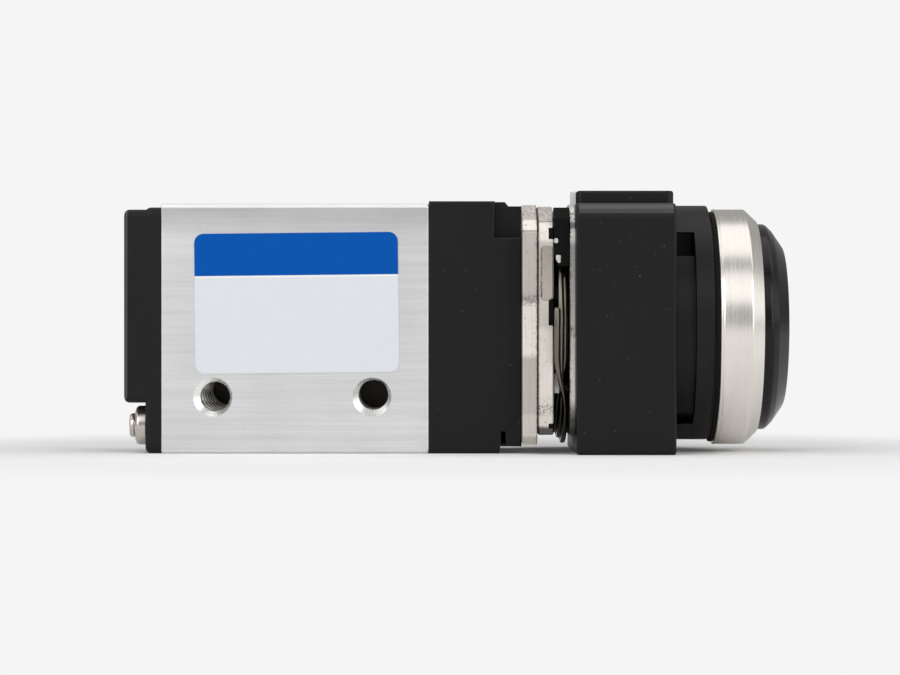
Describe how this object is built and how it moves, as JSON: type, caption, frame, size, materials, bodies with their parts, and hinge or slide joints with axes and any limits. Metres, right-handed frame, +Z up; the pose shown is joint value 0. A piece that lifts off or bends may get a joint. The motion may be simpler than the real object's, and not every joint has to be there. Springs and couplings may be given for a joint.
{
  "type": "pushbutton valve",
  "caption": "Hand-operated pneumatic valve: brushed aluminium block with a label, black end covers, clamp plates and a black pushbutton in a satin metal ring.",
  "frame": {"origin": "centre of the supply port's mouth, in the middle of the aluminium block's lower face", "axes": "+X along the button axis towards the button, +Z up, and the labelled face looks along -Y"},
  "size_m": [0.0933, 0.035, 0.037],
  "materials": {
    "aluminium": "satin",
    "label_print": "satin",
    "black_plastic": "matte",
    "cap_plastic": "gloss",
    "nickel_plate": "satin",
    "satin_nickel": "satin",
    "rubber": "matte",
    "acetal": "satin",
    "spool_alloy": "satin",
    "turned_steel": "satin",
    "spring_steel": "satin",
    "blackened_steel": "satin",
    "fastener": "satin"
  },
  "bodies": {
    "valve": {"adapter": "black_plastic", "adapter_seal": "rubber", "backing_plate": "nickel_plate", "base_plate": "nickel_plate", "bezel_ring": "satin_nickel", "bezel_seal": "rubber", "bore_seals": "rubber", "bore_spacers": "acetal", "button_spring": "spring_steel", "clamp_spring": "spring_steel", "corner_spacer_back": "black_plastic", "corner_spacer_front": "black_plastic", "guide_tube": "turned_steel", "head_block": "black_plastic", "label": "label_print", "lock_plate": "nickel_plate", "mounting_collar": "black_plastic", "panel_gasket": "rubber", "plate_screw_back_high": "fastener", "plate_screw_back_low": "fastener", "plate_screw_front_high": "fastener", "plate_screw_front_low": "fastener", "rear_cover": "black_plastic", "rear_screw_back_high": "fastener", "rear_screw_back_low": "fastener", "rear_screw_front_high": "fastener", "rear_screw_front_low": "fastener", "rear_seal": "rubber", "rear_washer_back_high": "fastener", "rear_washer_back_low": "fastener", "rear_washer_front_high": "fastener", "rear_washer_front_low": "fastener", "spool_spring": "spring_steel", "stop_stud": "blackened_steel", "top_pad": "black_plastic", "top_screw": "blackened_steel", "valve_body": "aluminium"},
    "button": {"button_cap": "cap_plastic", "plunger": "turned_steel", "plunger_clip": "turned_steel"},
    "spool": {"spool": "spool_alloy"}
  },
  "joints": [
    {"name": "button_push", "type": "slide", "parent": "valve", "child": "button", "axis": [-1, 0, 0], "range_m": [0, 0.0035], "stiffness_N_per_m": 2600, "springref_m": -0.005, "deforming": ["button_spring"]},
    {"name": "spool_shift", "type": "slide", "parent": "valve", "child": "spool", "axis": [-1, 0, 0], "range_m": [0, 0.0035], "stiffness_N_per_m": 600, "springref_m": -0.005, "deforming": ["spool_spring"]}
  ],
  "couplings": [
    {"joint": "spool_shift", "follows": "button_push", "ratio": 1}
  ]
}
